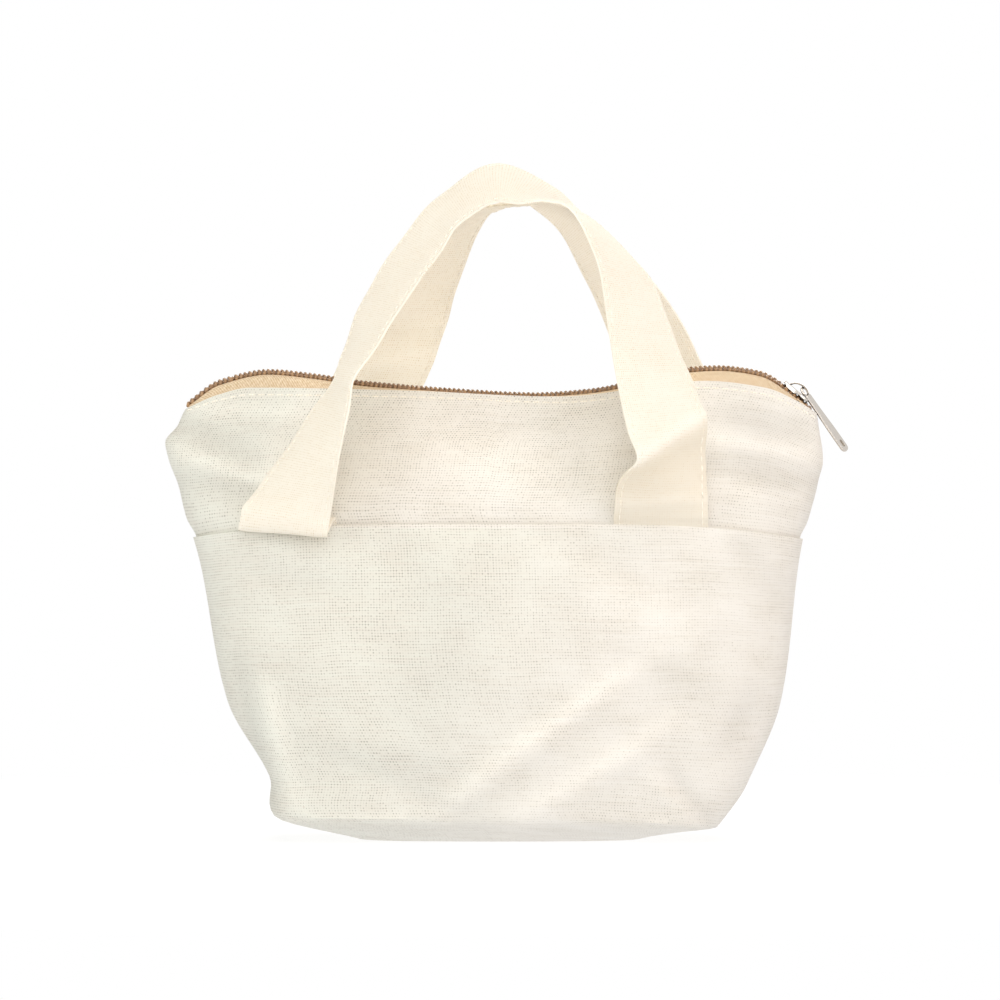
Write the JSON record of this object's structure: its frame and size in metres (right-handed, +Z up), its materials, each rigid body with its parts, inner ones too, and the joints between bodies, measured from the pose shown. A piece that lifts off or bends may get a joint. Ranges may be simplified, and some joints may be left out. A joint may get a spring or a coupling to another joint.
{
  "type": "lunch box",
  "caption": "Soft cloth lunch tote with a zip top, an upper yoke over a boxed lower body, and flat strap handles sewn into the front and back seams.",
  "frame": {"origin": "middle of the base, on the surface that the bag stands on", "axes": "+Z up, +X along the zip towards the closed slider, -Y is the front"},
  "size_m": [0.2528, 0.1091, 0.2503],
  "materials": {
    "canvas": "open plain weave, ecru",
    "lining": "plain white cotton",
    "strap": "fine plain weave, cream",
    "tape": "tan twill tape",
    "coil": "brown coil",
    "nickel": "bright nickel plate"
  },
  "bodies": {
    "bag": {"lower_body": "canvas", "front_yoke": "canvas", "back_yoke": "canvas", "front_lining": "lining", "back_lining": "lining", "front_handle_left_foot": "strap", "front_handle_right_foot": "strap", "back_handle_left_foot": "strap", "back_handle_right_foot": "strap", "zip_end_left": "tape", "zip_bottom_stop": "nickel", "zip_tape_end_front": "tape", "zip_tape_end_back": "tape", "zip_top_stop_front": "nickel", "zip_top_stop_back": "nickel"},
    "front_strap": {"front_handle": "strap"},
    "back_strap": {"back_handle": "strap"},
    "zip_front": {"zip_tape_front": "tape", "zip_coil_front": "coil"},
    "zip_back": {"zip_tape_back": "tape", "zip_coil_back": "coil"},
    "slider": {"slider_body": "nickel"},
    "pull": {"zip_pull_tab": "nickel"}
  },
  "joints": [
    {"name": "zip_slide", "type": "slide", "parent": "bag", "child": "slider", "axis": [-0.9989, 0, 0.0477], "range_m": [0, 0.1947], "deforming": ["zip_tape_front", "zip_coil_front", "zip_tape_back", "zip_coil_back", "zip_tape_end_front", "zip_tape_end_back"]},
    {"name": "zip_front_open", "type": "hinge", "parent": "bag", "child": "zip_front", "pos_m": [0, -0.0095, 0.16816], "axis": [0.9998, 0, 0.0187], "range_deg": [0, 55], "deforming": ["zip_tape_front", "zip_coil_front"]},
    {"name": "zip_back_open", "type": "hinge", "parent": "bag", "child": "zip_back", "pos_m": [0, 0.0095, 0.16816], "axis": [-0.9998, 0, -0.0187], "range_deg": [0, 55], "deforming": ["zip_tape_back", "zip_coil_back"]},
    {"name": "pull_swing", "type": "hinge", "parent": "slider", "child": "pull", "pos_m": [0.11526, 0, 0.16472], "axis": [0, -1, 0], "range_deg": [0, 165]},
    {"name": "front_handle_swing", "type": "hinge", "parent": "bag", "child": "front_strap", "pos_m": [0, -0.0433, 0.1168], "axis": [1, 0, 0], "range_deg": [0, 115]},
    {"name": "back_handle_swing", "type": "hinge", "parent": "bag", "child": "back_strap", "pos_m": [0, 0.0433, 0.1168], "axis": [-1, 0, 0], "range_deg": [0, 115]}
  ],
  "couplings": [
    {"joint": "zip_front_open", "follows": "zip_slide", "rad_per_m": 4.9254},
    {"joint": "zip_back_open", "follows": "zip_slide", "rad_per_m": 4.9254}
  ]
}
